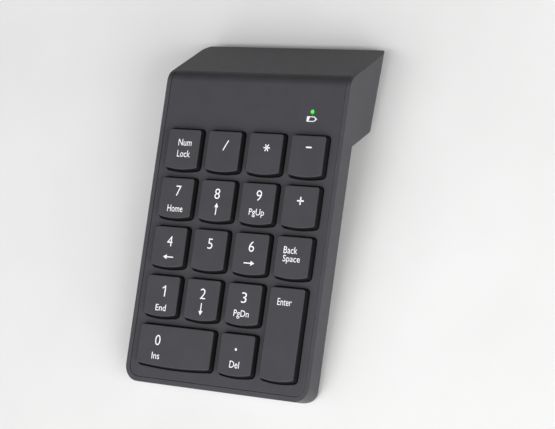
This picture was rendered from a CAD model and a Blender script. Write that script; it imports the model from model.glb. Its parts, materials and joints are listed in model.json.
import json
import math

import bmesh
import bpy
from mathutils import Matrix, Vector
from mathutils.geometry import tessellate_polygon


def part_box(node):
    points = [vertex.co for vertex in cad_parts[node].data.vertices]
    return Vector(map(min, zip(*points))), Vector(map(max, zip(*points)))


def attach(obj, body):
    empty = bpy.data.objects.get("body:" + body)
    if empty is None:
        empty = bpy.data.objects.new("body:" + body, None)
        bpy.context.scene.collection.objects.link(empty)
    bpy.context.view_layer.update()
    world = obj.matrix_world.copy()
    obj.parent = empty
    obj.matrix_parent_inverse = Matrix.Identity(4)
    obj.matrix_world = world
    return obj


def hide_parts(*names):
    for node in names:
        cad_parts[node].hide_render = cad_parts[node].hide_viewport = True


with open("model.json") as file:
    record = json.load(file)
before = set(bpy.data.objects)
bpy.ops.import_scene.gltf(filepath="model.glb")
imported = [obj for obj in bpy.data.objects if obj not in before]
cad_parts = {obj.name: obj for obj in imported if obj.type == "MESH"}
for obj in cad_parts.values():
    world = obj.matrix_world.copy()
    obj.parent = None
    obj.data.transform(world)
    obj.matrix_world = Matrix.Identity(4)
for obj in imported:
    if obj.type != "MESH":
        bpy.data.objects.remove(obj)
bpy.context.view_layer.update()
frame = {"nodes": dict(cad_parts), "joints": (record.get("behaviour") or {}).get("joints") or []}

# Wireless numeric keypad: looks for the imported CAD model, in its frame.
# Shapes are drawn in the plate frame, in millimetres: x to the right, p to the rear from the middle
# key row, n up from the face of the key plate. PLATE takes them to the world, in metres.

MM = 0.001
BODY_FRONT = 52.5       # from the middle key row to the body's front edge


# ---- The plate frame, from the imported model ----

def joint_axis(name):
    return Vector(next(j for j in frame["joints"] if j["name"] == name)["axis"])


press_axis = joint_axis("key_5_press")
TILT = math.atan2(press_axis.y, -press_axis.z)
untilt = Matrix.Rotation(-TILT, 4, "X") @ Matrix.Scale(1 / MM, 4)


def tilted_box(node):
    """Lowest and highest corner of a CAD node, in millimetres, along the plate's directions."""
    points = [untilt @ v.co for v in frame["nodes"][node].data.vertices]
    return (Vector(map(min, zip(*points))), Vector(map(max, zip(*points))))


origin = Vector((0, tilted_box("bottom_case")[0].y + BODY_FRONT, tilted_box("top_cover")[1].z))
PLATE = untilt.inverted() @ Matrix.Translation(origin)


def plate_box(node):
    low, high = tilted_box(node)
    return low - origin, high - origin


# ---- Outlines ----

def arc_corner(a, b, c, radius, steps):
    """Points of an arc that rounds the corner b between a and c."""
    u, v = (a - b).normalized(), (c - b).normalized()
    half = u.angle(v) / 2
    centre = b + (u + v).normalized() * radius / math.sin(half)
    start = b + u * radius / math.tan(half) - centre
    end = b + v * radius / math.tan(half) - centre
    sweep = start.angle_signed(end)
    return [centre + Matrix.Rotation(-sweep * i / steps, 2) @ start for i in range(steps + 1)]


def rounded(points, steps=6):
    """Closed outline with round corners, from (x, y, radius) corners."""
    out = []
    for i, (x, y, radius) in enumerate(points):
        before, after = points[i - 1], points[(i + 1) % len(points)]
        here = Vector((x, y))
        if radius:
            out += arc_corner(Vector(before[:2]), here, Vector(after[:2]), radius, steps)
        else:
            out.append(here)
    return out


def at_height(outline, n):
    return [Vector((v.x, v.y, n)) for v in outline]


def circle(x, p, radius, n, steps=32):
    turns = [2 * math.pi * i / steps for i in range(steps)]
    return [Vector((x + radius * math.cos(a), p + radius * math.sin(a), n)) for a in turns]


def quarter(radius, steps):
    """(inset, drop) pairs round a convex edge, from the flat face to the wall."""
    angles = [math.pi / 2 * i / steps for i in range(steps + 1)]
    return [(radius * (1 - math.sin(a)), radius * (1 - math.cos(a))) for a in angles]


# ---- Meshes ----

class Shape:
    """A mesh under construction, in plate-frame millimetres."""

    def __init__(self):
        self.points, self.faces, self.paints = [], [], []

    def ring(self, points):
        first = len(self.points)
        self.points += points
        return list(range(first, first + len(points)))

    def skin(self, a, b, closed=True, paint=0):
        """Quads between two rings with the same number of points."""
        for i in range(len(a) if closed else len(a) - 1):
            k = (i + 1) % len(a)
            self.face([a[i], a[k], b[k], b[i]], paint)

    def face(self, indices, paint=0):
        self.faces.append(indices)
        self.paints.append(paint)

    def cap(self, outer, holes=(), paint=0):
        """A flat face inside the ring outer, with holes."""
        if not holes:
            self.face(outer, paint)
            return
        rings = [outer, *holes]
        flat = [i for ring in rings for i in ring]
        for triangle in tessellate_polygon([[self.points[i] for i in ring] for ring in rings]):
            self.face([flat[i] for i in triangle], paint)

    def prism(self, outline, low, high, holes=(), paint=0):
        """A closed straight prism over an outline, with holes through it."""
        loops = [outline, *holes]
        bottom = [self.ring(at_height(o, low)) for o in loops]
        top = [self.ring(at_height(o, high)) for o in loops]
        for a, b in zip(bottom, top):
            self.skin(a, b, paint=paint)
        self.cap(bottom[0], bottom[1:], paint)
        self.cap(top[0], top[1:], paint)

    def object(self, name, materials, smooth_under=40):
        """The finished mesh as an object. Paints number the materials."""
        mesh = bpy.data.meshes.new(name)
        mesh.from_pydata([PLATE @ v for v in self.points], [], self.faces)
        for material in materials:
            mesh.materials.append(material)
        mesh.polygons.foreach_set("material_index", self.paints)
        work = bmesh.new()
        work.from_mesh(mesh)
        bmesh.ops.remove_doubles(work, verts=work.verts, dist=1e-7)
        bmesh.ops.recalc_face_normals(work, faces=work.faces)
        work.to_mesh(mesh)
        work.free()
        return placed(name, mesh, smooth_under)


def placed(name, mesh, smooth_under=40):
    """A mesh as an object in the scene, smooth across edges that turn less than an angle."""
    mesh.shade_smooth()
    mesh.set_sharp_from_angle(angle=math.radians(smooth_under))
    piece = bpy.data.objects.new(name, mesh)
    bpy.context.scene.collection.objects.link(piece)
    return piece


def softened(node, name, width, material, sharp_over=32, segments=3):
    """A copy of a CAD node's mesh with its sharp convex edges rounded off."""
    work = bmesh.new()
    work.from_mesh(frame["nodes"][node].data)
    bmesh.ops.remove_doubles(work, verts=work.verts, dist=2e-6)
    bmesh.ops.dissolve_limit(work, angle_limit=math.radians(0.4), verts=work.verts, edges=work.edges)
    turn = math.radians(sharp_over)
    sharp = [e for e in work.edges if e.is_manifold and e.is_convex and e.calc_face_angle(0) > turn]
    bmesh.ops.bevel(work, geom=sharp, offset=width * MM, offset_type="OFFSET", segments=segments,
                    profile=0.5, affect="EDGES", clamp_overlap=True)
    mesh = bpy.data.meshes.new(name)
    work.to_mesh(mesh)
    work.free()
    mesh.materials.clear()
    mesh.materials.append(material)
    piece = placed(name, mesh, smooth_under=30)
    even = piece.modifiers.new("even_shading", "WEIGHTED_NORMAL")
    even.keep_sharp = True
    return piece


# ---- Materials ----

class Nodes:
    """Builds a node material around one Principled shader."""

    def __init__(self, name, roughness=0.5, metallic=0.0, specular=0.5, ior=1.5):
        self.material = bpy.data.materials.new(name)
        self.material.use_nodes = True
        self.tree = self.material.node_tree
        self.shader = next(n for n in self.tree.nodes if n.type == "BSDF_PRINCIPLED")
        self.shader.inputs["Roughness"].default_value = roughness
        self.shader.inputs["Metallic"].default_value = metallic
        self.shader.inputs["Specular IOR Level"].default_value = specular
        self.shader.inputs["IOR"].default_value = ior
        self.place = self.add("ShaderNodeTexCoord").outputs["Object"]

    def add(self, kind, **settings):
        node = self.tree.nodes.new(kind)
        for key, value in settings.items():
            setattr(node, key, value)
        return node

    def link(self, a, b):
        self.tree.links.new(a, b)

    def noise(self, size, detail=3, stretch=(1, 1, 1)):
        """Noise with features of about that size in millimetres."""
        where = self.add("ShaderNodeMapping")
        where.inputs["Scale"].default_value = stretch
        self.link(self.place, where.inputs["Vector"])
        noise = self.add("ShaderNodeTexNoise")
        noise.inputs["Scale"].default_value = 1 / (size * MM)
        noise.inputs["Detail"].default_value = detail
        self.link(where.outputs["Vector"], noise.inputs["Vector"])
        return noise.outputs["Fac"]

    def ramp(self, value, stops, name):
        """Sends a value through a ramp of (place, colour) stops to a shader socket."""
        ramp = self.add("ShaderNodeValToRGB")
        elements = ramp.color_ramp.elements
        while len(elements) < len(stops):
            elements.new(0.5)
        for element, (place, colour) in zip(elements, stops):
            element.position = place
            element.color = (*colour, 1) if len(colour) == 3 else colour
        self.link(value, ramp.inputs["Fac"])
        if name:
            self.link(ramp.outputs["Color"], self.shader.inputs[name])
        return ramp.outputs["Color"]

    def bump(self, height, depth, strength=1.0):
        """Relief of that depth in millimetres, on top of any earlier relief."""
        bump = self.add("ShaderNodeBump")
        bump.inputs["Strength"].default_value = strength
        bump.inputs["Distance"].default_value = depth * MM
        self.link(height, bump.inputs["Height"])
        socket = self.shader.inputs["Normal"]
        if socket.is_linked:
            self.link(socket.links[0].from_socket, bump.inputs["Normal"])
        self.link(bump.outputs["Normal"], socket)


def shades(colour, spread):
    """Two stops of one colour, darker and lighter by a share."""
    dark = tuple(c * (1 - spread) for c in colour)
    light = tuple(c * (1 + spread) for c in colour)
    return [(0.35, dark), (0.65, light)]


def greys(low, high):
    return [(0.35, (low, low, low)), (0.65, (high, high, high))]


def plastic(name, colour, roughness=0.5, grain=0.16, depth=0.006, spread=0.04, specular=0.35):
    """Moulded plastic with a fine spark-eroded grain and slight tone changes."""
    m = Nodes(name, specular=specular)
    m.ramp(m.noise(7, 4), shades(colour, spread), "Base Color")
    m.ramp(m.noise(grain * 2.2, 2), greys(roughness - 0.05, roughness + 0.05), "Roughness")
    m.bump(m.noise(grain, 2), depth, 0.6)
    return m.material


def metal(name, colour, roughness, stretch=(1, 1, 1), size=0.5, depth=0.003):
    """Bare metal with drawing or rolling marks along its stretch."""
    m = Nodes(name, metallic=1.0)
    m.ramp(m.noise(size * 8, 3, stretch), shades(colour, 0.08), "Base Color")
    m.ramp(m.noise(size, 3, stretch), greys(roughness - 0.08, roughness + 0.1), "Roughness")
    m.bump(m.noise(size, 2, stretch), depth, 0.5)
    return m.material


def film_material():
    m = Nodes("film", roughness=0.3, specular=0.5)
    m.ramp(m.noise(3, 3), [(0.4, (0.62, 0.70, 0.66)), (0.6, (0.70, 0.77, 0.73))], "Base Color")
    m.ramp(m.noise(0.8, 2), greys(0.24, 0.36), "Roughness")
    m.bump(m.noise(6, 2), 0.01, 0.3)
    return m.material


def board_material():
    """Green solder mask with copper tracks just showing through."""
    m = Nodes("board", roughness=0.35, specular=0.5)
    tracks = m.add("ShaderNodeTexBrick", offset=0.37, squash=1.6)
    tracks.inputs["Scale"].default_value = 130
    tracks.inputs["Mortar Size"].default_value = 0.012
    tracks.inputs["Color1"].default_value = (0.013, 0.11, 0.035, 1)
    tracks.inputs["Color2"].default_value = (0.016, 0.13, 0.042, 1)
    tracks.inputs["Mortar"].default_value = (0.05, 0.26, 0.09, 1)
    m.link(m.place, tracks.inputs["Vector"])
    m.link(tracks.outputs["Color"], m.shader.inputs["Base Color"])
    m.bump(tracks.outputs["Fac"], 0.02, 0.5)
    m.ramp(m.noise(0.6, 2), greys(0.28, 0.42), "Roughness")
    return m.material


def sleeve_material():
    """Printed sleeve of a cell: a dark body and a lighter band, split along its length."""
    m = Nodes("cell_sleeve", roughness=0.3, specular=0.5)
    split = m.add("ShaderNodeSeparateXYZ")
    m.link(m.place, split.inputs["Vector"])
    along = m.add("ShaderNodeMath", operation="MULTIPLY_ADD")
    along.inputs[1].default_value = 1 / 0.045
    along.inputs[2].default_value = 0.5
    m.link(split.outputs["X"], along.inputs[0])
    m.ramp(along.outputs["Value"], [
        (0.0, (0.02, 0.05, 0.16)), (0.30, (0.02, 0.05, 0.16)), (0.31, (0.5, 0.5, 0.52)),
        (0.36, (0.5, 0.5, 0.52)), (0.37, (0.02, 0.05, 0.16)),
    ], "Base Color")
    m.ramp(m.noise(1.2, 3), greys(0.22, 0.38), "Roughness")
    m.bump(m.noise(2, 2), 0.008, 0.4)
    return m.material


def lens_material():
    """Lit green light, darker towards its rim."""
    low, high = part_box("light_pipe")
    centre = (low + high) / 2
    m = Nodes("green_lens", roughness=0.25, specular=0.5)
    shift = m.add("ShaderNodeMapping", vector_type="POINT")
    shift.inputs["Location"].default_value = (-centre.x, -centre.y, -high.z)
    m.link(m.place, shift.inputs["Vector"])
    far = m.add("ShaderNodeVectorMath", operation="LENGTH")
    m.link(shift.outputs["Vector"], far.inputs[0])
    share = m.add("ShaderNodeMath", operation="DIVIDE")
    share.inputs[1].default_value = (high.x - low.x) / 2
    m.link(far.outputs["Value"], share.inputs[0])
    stops = [(0.32, (0.06, 0.86, 0.06)), (0.56, (0.008, 0.11, 0.008))]
    m.ramp(share.outputs["Value"], stops, "Base Color")
    m.ramp(share.outputs["Value"], stops, "Emission Color")
    m.shader.inputs["Emission Strength"].default_value = 0.6
    m.bump(m.noise(0.5, 2), 0.004, 0.3)
    return m.material


def print_material():
    """White pad-printed ink."""
    m = Nodes("print_white", specular=0.3)
    m.ramp(m.noise(0.5, 3), [(0.3, (0.80, 0.80, 0.80)), (0.7, (0.92, 0.92, 0.92))], "Base Color")
    m.ramp(m.noise(0.3, 2), greys(0.5, 0.62), "Roughness")
    m.bump(m.noise(0.2, 2), 0.003, 0.4)
    return m.material


LOOKS = {
    "case_plastic": plastic("case_plastic", (0.056, 0.0555, 0.061), 0.46, specular=0.3),
    "cover_plastic": plastic("cover_plastic", (0.050, 0.049, 0.054), 0.50, specular=0.28),
    "key_plastic": plastic("key_plastic", (0.050, 0.049, 0.054), 0.46, specular=0.28),
    "frame_plastic": plastic("frame_plastic", (0.02, 0.02, 0.022), 0.5, grain=0.3, depth=0.01),
    "spring_steel": metal("spring_steel", (0.55, 0.56, 0.58), 0.25, (1, 1, 1), 0.4),
    "silicone": plastic("silicone", (0.55, 0.54, 0.50), 0.6, grain=0.5, depth=0.01, spread=0.08),
    "film": film_material(),
    "sheet_steel": metal("sheet_steel", (0.45, 0.46, 0.47), 0.35, (0.05, 1, 1), 0.4),
    "board": board_material(),
    "chip_resin": plastic("chip_resin", (0.012, 0.012, 0.013), 0.6, grain=0.08, depth=0.01),
    "can_metal": metal("can_metal", (0.60, 0.61, 0.63), 0.3, (1, 0.1, 1), 0.3),
    "capacitor_ceramic": plastic("capacitor_ceramic", (0.38, 0.24, 0.12), 0.4, grain=0.1, depth=0.004),
    "led_body": plastic("led_body", (0.75, 0.78, 0.70), 0.3, grain=0.2, depth=0.003),
    "green_lens": lens_material(),
    "screw_steel": metal("screw_steel", (0.42, 0.43, 0.45), 0.32, (1, 1, 0.3), 0.3),
    "cell_sleeve": sleeve_material(),
    "contact_nickel": metal("contact_nickel", (0.62, 0.60, 0.56), 0.22, (1, 1, 0.2), 0.4),
    "foot_rubber": plastic("foot_rubber", (0.018, 0.018, 0.019), 0.8, grain=0.35, depth=0.02, spread=0.12),
}
key_side = plastic("key_side", (0.0075, 0.0075, 0.008), 0.45, specular=0.2)
print_white = print_material()


def dress_carried_nodes():
    """Gives every CAD node its slot's look. The record's mesh materials carry the slots' names."""
    for node in frame["nodes"].values():
        for i, old in enumerate(node.data.materials):
            slot = next(s for s in LOOKS if old.name.startswith(s))
            node.data.materials[i] = LOOKS[slot]


dress_carried_nodes()


# ---- Housing ----

CASE_HALF = plate_box("bottom_case")[1].x
COVER_HALF = 40.2
COVER_T = 1.2
RIM = CASE_HALF - COVER_HALF
LIGHT_R = 1.0
CORNER_R = 6.25         # front corners of the body
NOSE_R = 5.4            # roll of the plate into the back face
BACK_TOP = 67.7         # where plate and back face would meet
BACK_ANGLE = math.radians(35)
ROLL = math.pi / 2 - BACK_ANGLE
ROLL_START = BACK_TOP - NOSE_R * math.tan(ROLL / 2)


def roll(x, s, n):
    """A point s beyond the start of the rolled rear edge and n above the plate's face."""
    a = min(s / NOSE_R, ROLL)
    past = max(s - NOSE_R * ROLL, 0)
    p = ROLL_START + (NOSE_R + n) * math.sin(a) + past * math.cos(a)
    return Vector((x, p, (NOSE_R + n) * math.cos(a) - NOSE_R - past * math.sin(a)))


KEY_NODES = sorted(n for n in frame["nodes"] if n.startswith("key_") and n != "key_guide_frame")
KEY_PITCH = 19
KEY_HALF = 7.63         # half the width of a single key's top
KEY_REAR = 7.7          # from a key cell's centre to the rear edge of its top
KEY_R = 0.9             # corners of a key's top
KEY_TAPER = 0.35        # how far a key's wall leans out down to the plate
FRONT_SAG = 0.95        # how far a key's front edge bulges
FLANGE = 1.15           # how far a key's retaining flange stands out from its top
WINDOW = KEY_TAPER + 0.4
REAR_IN = 0.2           # the gap is narrower behind a key
SUPPORT = 0.06          # strip beside a rounded edge that keeps the flat face's shading flat


class Key:
    """Size and place of a key, from its CAD node."""

    def __init__(self, node):
        self.node = node
        low, high = plate_box(node)
        self.x = (low.x + high.x) / 2
        self.half = (high.x - low.x) / 2 - FLANGE
        self.rear = high.y - FLANGE
        self.front = low.y + FLANGE
        self.top = high.z
        self.bottom = low.z

    def outline(self, margin, n, rear_in=0):
        """The key's outline grown by a margin, with its rear side moved in."""
        half, front = self.half + margin, self.front - margin
        bow = (half * half + FRONT_SAG * FRONT_SAG) / (2 * FRONT_SAG)
        r = KEY_R + margin
        steps = 8
        places = [half * (2 * i / steps - 1) for i in range(steps + 1)]
        edge = [(self.x + x, front + bow - math.sqrt(bow * bow - x * x), 0) for x in places]
        edge[0], edge[-1] = (*edge[0][:2], r), (*edge[-1][:2], r)
        rear = self.rear + margin - rear_in
        corners = [(self.x + half, rear, r), (self.x - half, rear, r)]
        return at_height(rounded(corners + edge), n)


KEYS = {node: Key(node) for node in KEY_NODES}


def cover_path(inset, n):
    """Open outline of the cover from its rolled edge at the right, round the front, to the left."""
    half, r = COVER_HALF - inset, CORNER_R - RIM - inset
    front = -BODY_FRONT + RIM + inset
    flat = rounded([(half, ROLL_START, 0), (half, front, r), (-half, front, r), (-half, ROLL_START, 0)], 10)
    return half, at_height(flat, n)


def edge_levels(radius):
    """(inset, n) pairs from the plate's face over a rounded edge and down its wall."""
    edge = quarter(radius, 3)
    bend = [(inset, -drop) for inset, drop in edge]
    return [(edge[0][0] + SUPPORT, 0), *bend, (0, -COVER_T + 0.1), (0, -COVER_T)]


def make_cover():
    """The key plate: its rolled face with the windows, its walls, its back and what is under it."""
    shape = Shape()
    steps, past_roll = 14, 0.05
    length = NOSE_R * ROLL + past_roll
    stations = [length * (i + 1) / steps for i in range(steps)]
    rings = []
    for inset, n in edge_levels(0.2):
        half, path = cover_path(inset, n)
        right = [roll(half, s, n) for s in reversed(stations)]
        left = [roll(-half, s, n) for s in stations]
        rings.append(shape.ring(right + path + left))
    for a, b in zip(rings, rings[1:]):
        shape.skin(a, b, closed=False)
    count = len(stations)
    light = light_place()
    for ring, n in ((rings[0], 0), (rings[-1], -COVER_T)):
        edges = [window_ring(shape, key, n) for key in KEYS.values()]
        edges.append(light_ring(shape, light, n))
        shape.cap(ring[count:len(ring) - count], edges)
        for i in range(count):
            shape.face([ring[i], ring[i + 1], ring[-i - 2], ring[-i - 1]])
    ends = [ring[0] for ring in rings] + [ring[-1] for ring in reversed(rings)]
    shape.face(ends)
    add_cover_underside(shape)
    return shape.object("key_plate", [LOOKS["cover_plastic"]])


def window_ring(shape, key, n):
    """Edge of a key's window in the plate's face or its back. The face's call builds the wall too."""
    if n < 0:
        return shape.ring(key.outline(WINDOW, n, REAR_IN))
    rings = [shape.ring(key.outline(WINDOW + out, level, REAR_IN)) for out, level in edge_levels(0.22)]
    for a, b in zip(rings, rings[1:]):
        shape.skin(a, b)
    return rings[0]


def light_place():
    """Centre of the light in the plate."""
    low, high = plate_box("light_pipe")
    return (low + high) / 2


def light_ring(shape, light, n):
    """Edge of the light's hole, built as window_ring does."""
    hole = LIGHT_R + 0.05
    if n < 0:
        return shape.ring(circle(light.x, light.y, hole, n))
    edge = [(0.15, 0), (0.09, 0), (0.03, -0.03), (0, -0.09), (0, -COVER_T)]
    rings = [shape.ring(circle(light.x, light.y, hole + out, level)) for out, level in edge]
    for a, b in zip(rings, rings[1:]):
        shape.skin(a, b)
    return rings[0]


def add_cover_underside(shape):
    """Skirt round the key field with its rear rib, and the two screw bosses."""
    rib, rib_t = 48.2, 0.7
    skirt_t, skirt_low = 1.0, -3.8
    boss_x, boss_p, boss_low = 33, 62, -8
    boss_r, bore_r = 2.5, 1.05

    def plan(inset, rear):
        half, r = COVER_HALF - inset, CORNER_R - RIM - inset
        front = -BODY_FRONT + RIM + inset
        return rounded([(half, rear, 0), (-half, rear, 0), (-half, front, r), (half, front, r)], 10)

    shape.prism(plan(0.02, rib + rib_t), skirt_low, -COVER_T + 0.1, [plan(skirt_t, rib)])
    for side in (-1, 1):
        outer = circle(boss_x * side, boss_p, boss_r, 0, 40)
        inner = circle(boss_x * side, boss_p, bore_r, 0, 40)
        shape.prism(outer, boss_low, -COVER_T + 0.1, [inner])


key_plate = make_cover()
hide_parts("top_cover")
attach(key_plate, "root")

case_body = softened("bottom_case", "body_tub", 0.22, LOOKS["case_plastic"])
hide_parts("bottom_case")
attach(case_body, "root")

door = softened("battery_door", "battery_hatch", 0.2, LOOKS["case_plastic"])
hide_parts("battery_door")
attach(door, "battery_door")

feet = softened("rubber_feet", "foot_pads", 0.3, LOOKS["foot_rubber"])
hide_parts("rubber_feet")
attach(feet, "root")


# ---- Keys ----

def make_keycap(key):
    """Keycap lofted over its outline: flange, tapered wall, round top edge, and the works below."""
    shape = Shape()
    flange_top, flange_low, shell = -1.3, -1.9, 1.2
    edge_r, support = 0.3, 0.08
    edge = quarter(edge_r, 5)
    lean = KEY_TAPER / key.top
    shoulder = edge_r + support
    wall = [(KEY_TAPER, flange_top), (KEY_TAPER, 0), (shoulder * lean, key.top - shoulder)]
    top = [(-inset + drop * lean, key.top - drop) for inset, drop in reversed(edge)]
    outside = [(FLANGE, flange_low), (FLANGE, flange_top), *wall, *top, (-shoulder, key.top)]
    dark_rings = len(wall) + 4      # the near-black sides reach well into the rounded edge
    inside = [(KEY_TAPER - shell + 0.1, flange_low), (KEY_TAPER - shell + 0.1, key.top - shell)]
    rings = [shape.ring(key.outline(margin, n)) for margin, n in outside]
    for i, (a, b) in enumerate(zip(rings, rings[1:])):
        shape.skin(a, b, paint=0 if i > dark_rings else 1)
    shape.cap(rings[-1])
    hollow = [shape.ring(key.outline(margin, n)) for margin, n in inside]
    shape.skin(*hollow, paint=1)
    shape.cap(hollow[-1], paint=1)
    shape.skin(rings[0], hollow[0], paint=1)
    add_plunger(shape, key, shell)
    return shape.object(key.node + "_cap", [LOOKS["key_plastic"], key_side])


def square(x, p, side):
    h = side / 2
    return [Vector((x + a * h, p + b * h)) for a, b in ((1, 1), (-1, 1), (-1, -1), (1, -1))]


def key_middle(key):
    """Place p of the key's plunger, in the middle of the cells that the key covers."""
    cells = round((key.rear - key.front) / KEY_PITCH)
    return key.rear - KEY_REAR - KEY_PITCH * (cells - 1) / 2


def add_plunger(shape, key, shell):
    """The square sleeve that slides in the guide frame, and the post that pushes the dome."""
    p, roof = key_middle(key), key.top - shell + 0.1
    sleeve, bore = 8.8, 7.4
    post_r, post_low = 1.5, -2.3
    shape.prism(square(key.x, p, sleeve), key.bottom, roof, [square(key.x, p, bore)], paint=1)
    shape.prism(circle(key.x, p, post_r, 0), post_low, roof, paint=1)


for key in KEYS.values():
    cap = make_keycap(key)
    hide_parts(key.node)
    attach(cap, key.node)


# ---- Legends ----

INK = 0.012             # how far the ink stands above the surface
THIN = 0.42             # stroke of the drawn marks


def stroke(shape, a, b, width, n):
    """A straight mark with round ends."""
    a, b = Vector(a), Vector(b)
    along = (b - a).normalized() * width / 2
    across = Vector((-along.y, along.x))
    turns = [math.pi * i / 6 for i in range(7)]
    outline = [b + along * math.sin(t) + across * math.cos(t) for t in turns]
    outline += [a - along * math.sin(t) - across * math.cos(t) for t in turns]
    shape.prism(outline, n - INK, n + INK)


def arrow(shape, x, p, way, length, n):
    """An arrow centred on (x, p) that points along way."""
    way = Vector(way)
    across = Vector((-way.y, way.x))
    tip = Vector((x, p)) + way * length / 2
    tail = tip - way * length
    head_share, head, half = 0.36, 0.92, THIN / 2
    neck = tip - way * length * head_share
    outline = [tip, neck + across * head, neck + across * half, tail + across * half,
               tail - across * half, neck - across * half, neck - across * head]
    shape.prism(outline, n - INK, n + INK)


def lettering(shape, text, x, p, width, height, n):
    """Text scaled to that width and height about its centre."""
    curve = bpy.data.curves.new("lettering", "FONT")
    curve.body = text
    curve.resolution_u = 5
    curve.extrude = 0.5
    curve.offset = -0.006 if text.isdigit() else 0.002      # figures are thinner than words
    piece = bpy.data.objects.new("lettering", curve)
    bpy.context.scene.collection.objects.link(piece)
    bpy.context.view_layer.update()
    mesh = bpy.data.meshes.new_from_object(piece.evaluated_get(bpy.context.evaluated_depsgraph_get()))
    points = [v.co.copy() for v in mesh.vertices]
    low, high = Vector(map(min, zip(*points))), Vector(map(max, zip(*points)))
    centre, size = (low + high) / 2, high - low
    first = len(shape.points)
    for v in points:
        across = x + (v.x - centre.x) * width / size.x
        along = p + (v.y - centre.y) * height / size.y
        shape.points.append(Vector((across, along, n + INK * (1 if v.z > 0 else -1))))
    for polygon in mesh.polygons:
        shape.face([first + i for i in polygon.vertices])
    bpy.data.objects.remove(piece)
    bpy.data.curves.remove(curve)
    bpy.data.meshes.remove(mesh)


DIGIT = 3.95            # height of the figures
UP, DOWN, LEFT, RIGHT = (0, 1), (0, -1), (-1, 0), (1, 0)

# Words on the keys: text, centre from the key's cell in x and p, width and height
WORDS = {
    "key_num_lock": [("Num", 0.68, 2.58, 6.25, 2.6), ("Lock", 0.70, -1.82, 6.1, 2.6)],
    "key_7": [("7", 0.86, 2.71, 2.4, DIGIT), ("Home", 0.36, -4.14, 7.2, 2.6)],
    "key_8": [("8", 0.26, 2.61, 2.45, DIGIT)],
    "key_9": [("9", 0.40, 3.03, 2.45, DIGIT), ("PgUp", 0.24, -3.63, 6.9, 3.2)],
    "key_4": [("4", 0.27, 2.13, 2.5, DIGIT)],
    "key_5": [("5", 0.22, 2.43, 2.25, DIGIT)],
    "key_6": [("6", 0.26, 2.73, 2.4, DIGIT)],
    "key_backspace": [("Back", -1.23, 2.64, 6.1, 2.6), ("Space", -0.39, -0.85, 7.6, 3.2)],
    "key_1": [("End", 0.37, -4.58, 4.85, 2.4)],
    "key_2": [("2", 0.21, 2.27, 2.5, DIGIT)],
    "key_3": [("3", 0.09, 2.44, 2.4, DIGIT), ("PgDn", -0.20, -3.93, 6.9, 3.2)],
    "key_enter": [("Enter", -0.75, 2.36, 6.25, 2.6)],
    "key_0": [("0", 1.26, 1.97, 2.45, DIGIT), ("Ins", 1.21, -3.97, 3.65, 2.6)],
    "key_decimal": [("Del", -0.13, -3.70, 4.35, 2.6)],
}
# Straight marks: ends from the key's cell, and width
STROKES = {
    "key_1": [((1.33, -0.1), (1.33, 3.85), 0.5), ((0.15, 2.95), (1.33, 3.85), 0.42)],
    "key_divide": [((-0.05, 0.5), (1.9, 4.1), 0.45)],
    "key_subtract": [((-0.55, 3.25), (1.6, 3.25), 0.55)],
    "key_add": [((-1.2, 2.15), (1.35, 2.15), 0.55), ((0.08, 0.85), (0.08, 3.45), 0.55)],
}
# Arrows: centre from the key's cell, direction and length
ARROWS = {
    "key_8": (0.58, -3.19, UP, 4.6),
    "key_2": (0.14, -3.61, DOWN, 4.6),
    "key_4": (0.40, -4.0, LEFT, 4.8),
    "key_6": (0.07, -3.57, RIGHT, 4.8),
}


def cell_centre(key):
    """Centre of the grid cell at the key's rear left, where its legend stands."""
    return key.x - key.half + KEY_HALF, key.rear - KEY_REAR


def make_legend(key):
    """All the print on one key."""
    shape = Shape()
    x, p = cell_centre(key)
    n = key.top
    for text, dx, dp, width, height in WORDS.get(key.node, []):
        lettering(shape, text, x + dx, p + dp, width, height, n)
    if key.node in ARROWS:
        dx, dp, way, length = ARROWS[key.node]
        arrow(shape, x + dx, p + dp, way, length, n)
    for a, b, width in STROKES.get(key.node, []):
        stroke(shape, (x + a[0], p + a[1]), (x + b[0], p + b[1]), width, n)
    if key.node == "key_multiply":
        middle = Vector((x + 0.77, p + 2.22))
        for turn in (0, 60, 120):
            half = Vector((1.3, 0))
            half.rotate(Matrix.Rotation(math.radians(turn), 2))
            stroke(shape, middle - half, middle + half, THIN, n)
    if key.node == "key_decimal":
        shape.prism(circle(x - 0.33, p + 1.95, 0.5, 0, 24), n - INK, n + INK)
    return shape.object(key.node + "_legend", [print_white])


for key in KEYS.values():
    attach(make_legend(key), key.node)


# ---- Battery light ----

def make_lens():
    """Domed light lens, with its flange under the plate."""
    light = light_place()
    low, _ = plate_box("light_pipe")
    shape = Shape()
    flange_r = LIGHT_R + 0.6
    stem = [(LIGHT_R, low.z), (LIGHT_R, -1.82), (flange_r, -1.8), (flange_r, -1.22), (LIGHT_R, -1.2)]
    dome = [(1, -0.1), (0.93, -0.02), (0.7, 0.03), (0.35, 0.05)]
    profile = stem + [(LIGHT_R * share, n) for share, n in dome]
    rings = [shape.ring(circle(light.x, light.y, r, n)) for r, n in profile]
    for a, b in zip(rings, rings[1:]):
        shape.skin(a, b)
    shape.cap(rings[0])
    shape.cap(rings[-1])
    return shape.object("light_lens", [LOOKS["green_lens"]])


lens = make_lens()
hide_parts("light_pipe")
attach(lens, "root")


def make_battery_mark():
    """Battery symbol printed below the light: a pointed outline, part filled."""
    light = light_place()
    x, p = light.x + 0.02, light.y - 2.65
    shape = Shape()

    def flat(points):
        return [Vector((x + a, p + b)) for a, b in points]

    outside = flat([(-2.1, 1.0), (-2.1, -1.0), (1.2, -1.0), (2.45, 0.0), (1.2, 1.0)])
    inside = flat([(-1.7, 0.7), (-1.7, -0.7), (1.1, -0.7), (1.75, 0.0), (1.1, 0.7)])
    shape.prism(outside, -INK, INK, [inside])
    shape.prism(flat([(-1.75, 0.75), (-1.75, -0.75), (-1.3, -0.75), (-0.7, 0.75)]), -INK, INK)
    return shape.object("battery_mark", [print_white])


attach(make_battery_mark(), "root")


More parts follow.
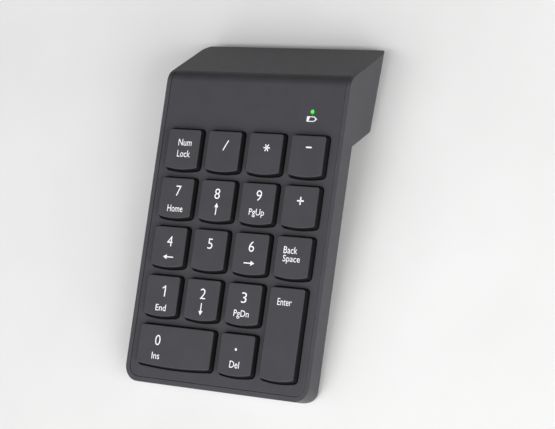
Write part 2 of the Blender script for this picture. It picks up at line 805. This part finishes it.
# ---- Camera, floor and light ----

def make_camera():
    """The photograph's view, given in the plate frame."""
    place, aim = Vector((457.8, -57.4, 650.5)), Vector((17.9, 15.7, 0))
    up = Vector((-0.0633, 0.9861, 0.1536))
    turn = PLATE.to_3x3()
    turn.normalize()
    back = (turn @ (place - aim)).normalized()
    right = (turn @ up).cross(back).normalized()
    up = back.cross(right)
    data = bpy.data.cameras.new("camera")
    data.sensor_width = 36
    data.lens = 137.4
    data.clip_start, data.clip_end = 0.01, 20
    camera = bpy.data.objects.new("camera", data)
    facing = Matrix((right, up, back)).transposed().to_4x4()
    camera.matrix_world = Matrix.Translation(PLATE @ place) @ facing
    bpy.context.scene.collection.objects.link(camera)
    bpy.context.scene.camera = camera


def make_floor():
    mesh = bpy.data.meshes.new("floor")
    half = 3.0
    corners = [(-half, -half, 0), (half, -half, 0), (half, half, 0), (-half, half, 0)]
    mesh.from_pydata(corners, [], [(0, 1, 2, 3)])
    m = Nodes("floor", roughness=0.45, specular=0.3)
    m.ramp(m.noise(60, 3), [(0.3, (0.80, 0.79, 0.77)), (0.7, (0.84, 0.83, 0.81))], "Base Color")
    mesh.materials.append(m.material)
    floor = bpy.data.objects.new("floor", mesh)
    bpy.context.scene.collection.objects.link(floor)


def area_light(name, place, aim, size, power, colour=(1, 1, 1)):
    data = bpy.data.lights.new(name, "AREA")
    data.shape = "RECTANGLE"
    data.size, data.size_y = size
    data.energy = power
    data.color = colour
    lamp = bpy.data.objects.new(name, data)
    lamp.location = place
    lamp.rotation_mode = "QUATERNION"
    lamp.rotation_quaternion = (Vector(aim) - Vector(place)).to_track_quat("-Z", "Y")
    bpy.context.scene.collection.objects.link(lamp)


def make_world(strength):
    """Soft studio surroundings, dimmer behind the keypad than in front of it."""
    world = bpy.data.worlds.new("studio")
    world.use_nodes = True
    tree = world.node_tree
    background = next(n for n in tree.nodes if n.type == "BACKGROUND")
    place = tree.nodes.new("ShaderNodeTexCoord")
    split = tree.nodes.new("ShaderNodeSeparateXYZ")
    ramp = tree.nodes.new("ShaderNodeValToRGB")
    low, high = ramp.color_ramp.elements
    low.position, low.color = 0.1, (0.94, 0.96, 1.0, 1)
    high.position, high.color = 0.66, (0.05, 0.05, 0.053, 1)
    middle = tree.nodes.new("ShaderNodeMath")
    middle.inputs[1].default_value = 0.5
    tree.links.new(place.outputs["Generated"], split.inputs["Vector"])
    tree.links.new(split.outputs["Y"], middle.inputs[0])
    tree.links.new(middle.outputs["Value"], ramp.inputs["Fac"])
    tree.links.new(ramp.outputs["Color"], background.inputs["Color"])
    background.inputs["Strength"].default_value = strength
    bpy.context.scene.world = world


make_camera()
make_floor()
make_world(1.32)
area_light("window", (1.25, -0.60, 0.60), (0, 0, 0.01), (1.2, 0.9), 20)
area_light("overhead", (-0.2, -1.1, 1.1), (0, 0, 0), (1.2, 1.2), 9)

bpy.context.scene.view_settings.view_transform = "Standard"
